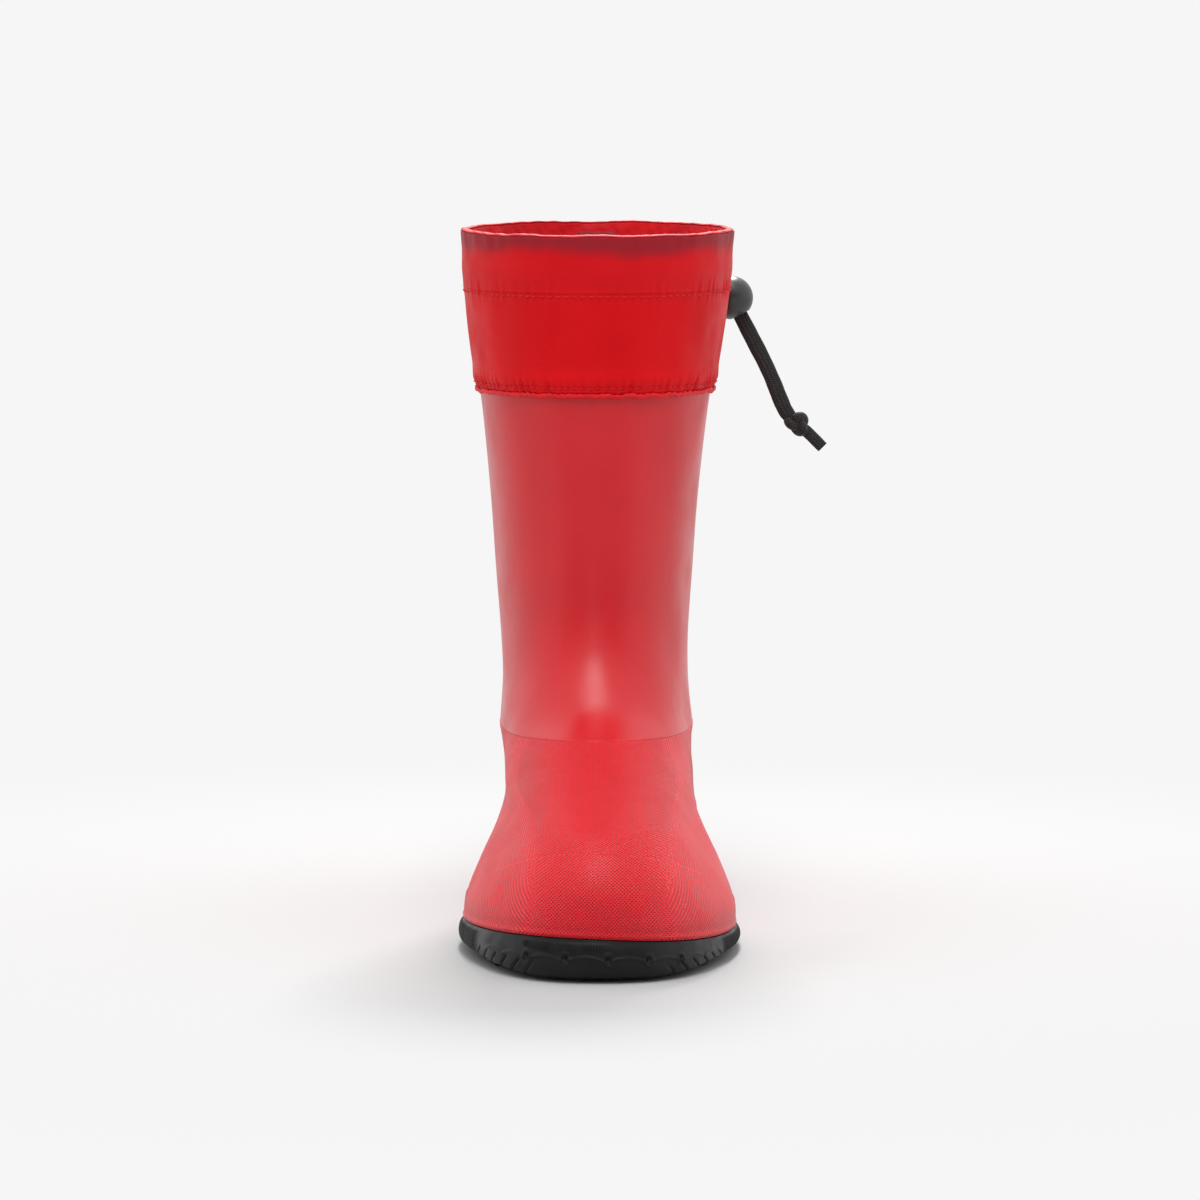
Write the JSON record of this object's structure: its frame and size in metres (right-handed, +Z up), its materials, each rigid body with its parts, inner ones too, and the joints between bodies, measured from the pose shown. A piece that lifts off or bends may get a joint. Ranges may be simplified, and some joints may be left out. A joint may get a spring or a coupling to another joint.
{
  "type": "rubber rain boot",
  "caption": "Mid-height rubber rain boot for the left foot: black lugged sole, ribbed rubber foot, smooth shaft and a flared cloth collar closed by a flat drawcord with a ball cord lock.",
  "frame": {"origin": "centre of the footprint of the boot without its free cord, on the floor", "axes": "+Z up, toe towards -Y, heel towards +Y, outer (little toe) side of this left boot towards +X"},
  "size_m": [0.1429, 0.28, 0.2622],
  "materials": {
    "rubber_foot": "fine diamond-ribbed, satin",
    "rubber_shaft": "smooth, satin",
    "rubber_overlay": "smooth, satin",
    "rubber_sole": "moulded, satin",
    "collar_cloth": "coated plain weave",
    "collar_cloth_top": "coated plain weave",
    "facing_cloth": "plain weave",
    "edge_tape": "folded tape",
    "thread": "polyester thread",
    "lining_knit": "brushed knit",
    "footbed_foam": "closed-cell foam",
    "footbed_top": "felted cloth",
    "filler_foam": "cellular filler",
    "board": "fibre board",
    "cord_black": "flat braid",
    "lock_plastic": "moulded, satin",
    "button_plastic": "moulded",
    "spring_wire": "bright wire",
    "eyelet_metal": "black lacquer"
  },
  "bodies": {
    "boot": {"outsole": "rubber_sole", "sole_filler": "filler_foam", "insole_board": "board", "foot_shell": "rubber_foot", "toe_cap": "rubber_foot", "heel_cap": "rubber_foot", "shaft_shell": "rubber_shaft", "back_stay": "rubber_overlay", "foot_lining": "lining_knit", "shaft_lining": "lining_knit", "collar_band": "collar_cloth", "collar_tunnel": "collar_cloth_top", "collar_facing": "facing_cloth", "collar_seam_tape": "edge_tape", "hem_binding": "edge_tape", "rim_binding": "edge_tape", "hem_stitching": "thread", "tunnel_stitching": "thread", "eyelet": "eyelet_metal", "drawcord_loop": "cord_black"},
    "footbed": {"footbed": "footbed_foam", "footbed_cover": "footbed_top"},
    "drawcord": {"drawcord_tail": "cord_black", "cord_knot": "cord_black"},
    "cord_lock": {"lock_body": "lock_plastic", "lock_spring": "spring_wire"},
    "lock_button": {"lock_button": "button_plastic"}
  },
  "joints": [
    {"name": "footbed_lift", "type": "hinge", "parent": "boot", "child": "footbed", "pos_m": [0, -0.132, 0.0176], "axis": [1, 0, 0], "range_deg": [0, 4.5]},
    {"name": "drawcord_swing", "type": "hinge", "parent": "boot", "child": "drawcord", "pos_m": [0.044, 0.1071, 0.2455], "axis": [0.4472, -0.8944, 0], "range_deg": [-4, 25]},
    {"name": "cord_lock_slide", "type": "slide", "parent": "drawcord", "child": "cord_lock", "axis": [0.4594, 0, -0.8882], "range_m": [0, 0.02]},
    {"name": "lock_button_press", "type": "slide", "parent": "cord_lock", "child": "lock_button", "axis": [-0.1236, -0.9903, -0.064], "range_m": [0, 0.002], "stiffness_N_per_m": 600, "springref_m": -0.002, "deforming": ["lock_spring"]}
  ]
}
